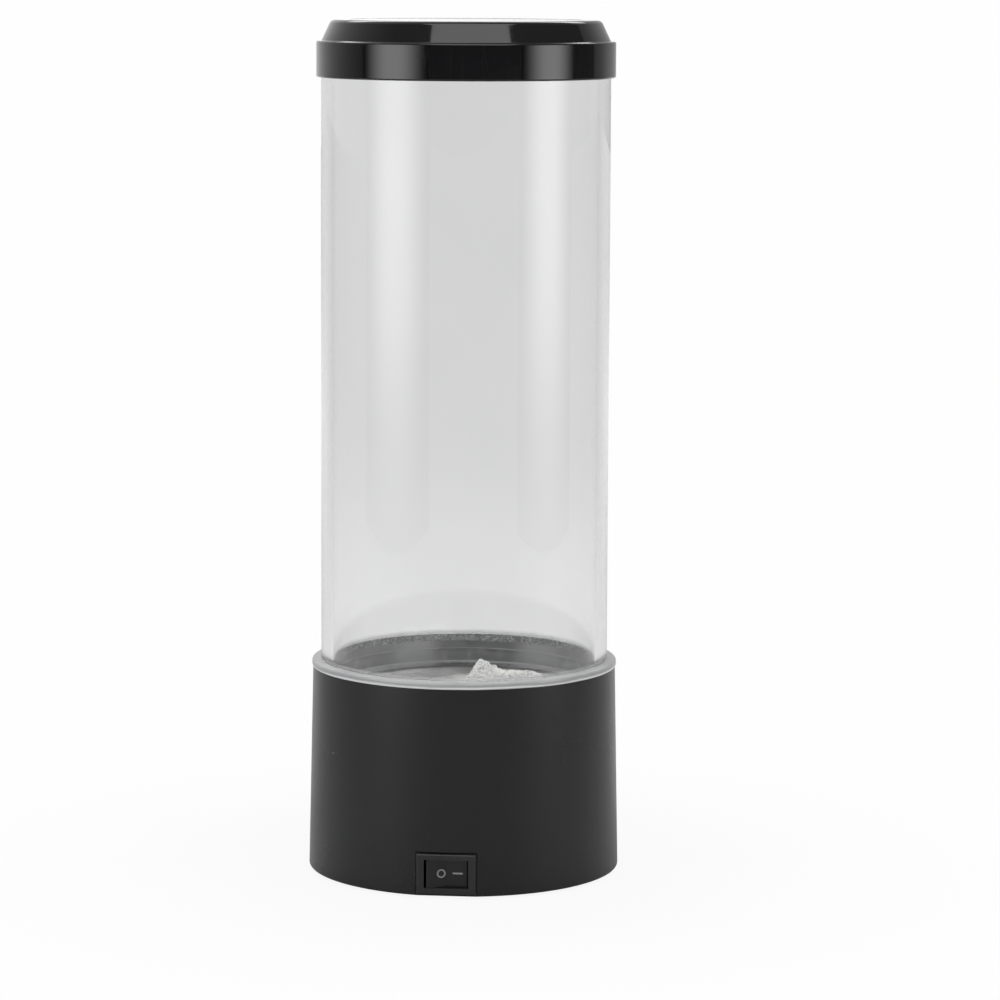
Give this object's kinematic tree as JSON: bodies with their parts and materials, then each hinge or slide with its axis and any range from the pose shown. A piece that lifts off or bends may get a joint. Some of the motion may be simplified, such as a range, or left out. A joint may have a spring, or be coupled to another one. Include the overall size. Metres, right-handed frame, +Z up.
{
  "type": "night light",
  "caption": "Fish tank night light: a clear upright water tank on a round black base with a rocker switch and a magnet-driven impeller, under a lift-off lid.",
  "frame": {"origin": "centre of the plane that the rubber feet stand on, on the tank's axis", "axes": "+Z up along the tank's axis, -Y towards the rocker switch, +Y towards the power inlet"},
  "size_m": [0.08, 0.08, 0.218],
  "materials": {
    "base_plastic": "satin moulded black",
    "lid_plastic": "glossy moulded black",
    "inner_plastic": "fine matt black",
    "rocker_plastic": "satin black",
    "mark_paint": "pale grey inlay",
    "clear_plastic": "clear, polished",
    "impeller_plastic": "fine matt black",
    "silicone": "cloudy silicone",
    "foot_rubber": "matt black rubber",
    "white_stone": "white grains",
    "magnet": "nickel plated",
    "steel": "zinc plated",
    "armature_steel": "laminated steel and copper",
    "contact_brass": "plain brass",
    "board": "white solder mask",
    "light_body": "white body with a pale lens",
    "resistor_body": "black chip",
    "red_wire": "red sleeve",
    "black_wire": "black sleeve"
  },
  "bodies": {
    "lamp": {"base_shell": "base_plastic", "bottom_cover": "inner_plastic", "motor_bracket": "inner_plastic", "motor_end_cap": "inner_plastic", "switch_housing": "inner_plastic", "jack_body": "inner_plastic", "jack_nut": "inner_plastic", "tank": "clear_plastic", "impeller_guard": "clear_plastic", "tank_seal": "silicone", "rubber_feet": "foot_rubber", "gravel": "white_stone", "motor_magnets": "magnet", "cover_screws": "steel", "bracket_screws": "steel", "board_screws": "steel", "motor_screws": "steel", "impeller_spindle": "steel", "motor_can": "steel", "motor_bushes": "contact_brass", "motor_tabs": "contact_brass", "switch_terminals": "contact_brass", "jack_pin": "contact_brass", "jack_tabs": "contact_brass", "light_board": "board", "board_lights": "light_body", "board_resistors": "resistor_body", "supply_wire": "red_wire", "switched_wire": "red_wire", "ground_wire": "black_wire", "motor_wires": "black_wire"},
    "lid": {"lid_cap": "lid_plastic", "lid_seal_ring": "silicone"},
    "rocker": {"switch_rocker": "rocker_plastic", "rocker_marks": "mark_paint", "switch_spring": "steel", "switch_plunger": "contact_brass"},
    "blade": {"switch_blade": "contact_brass"},
    "rotor": {"motor_shaft": "steel", "motor_armature": "armature_steel", "drive_disc": "inner_plastic", "drive_magnets": "magnet"},
    "impeller": {"impeller": "impeller_plastic", "impeller_magnets": "magnet"}
  },
  "joints": [
    {"name": "lid_lift", "type": "slide", "parent": "lamp", "child": "lid", "axis": [0, 0, 1], "range_m": [0, 0.04]},
    {"name": "rocker_press", "type": "hinge", "parent": "lamp", "child": "rocker", "pos_m": [0, -0.0375, 0.00635], "axis": [0, 0, -1], "range_deg": [0, 20]},
    {"name": "blade_tip", "type": "hinge", "parent": "lamp", "child": "blade", "pos_m": [0, -0.0308, 0.00635], "axis": [0, 0, 1], "range_deg": [0, 14.4]},
    {"name": "motor_spin", "type": "hinge", "parent": "lamp", "child": "rotor", "pos_m": [0, 0, 0.02], "axis": [0, 0, 1], "continuous": true},
    {"name": "impeller_spin", "type": "hinge", "parent": "lamp", "child": "impeller", "pos_m": [0, 0, 0.04], "axis": [0, 0, 1], "continuous": true}
  ],
  "couplings": [
    {"joint": "blade_tip", "follows": "rocker_press", "ratio": 0.72},
    {"joint": "impeller_spin", "follows": "motor_spin", "ratio": 1}
  ]
}
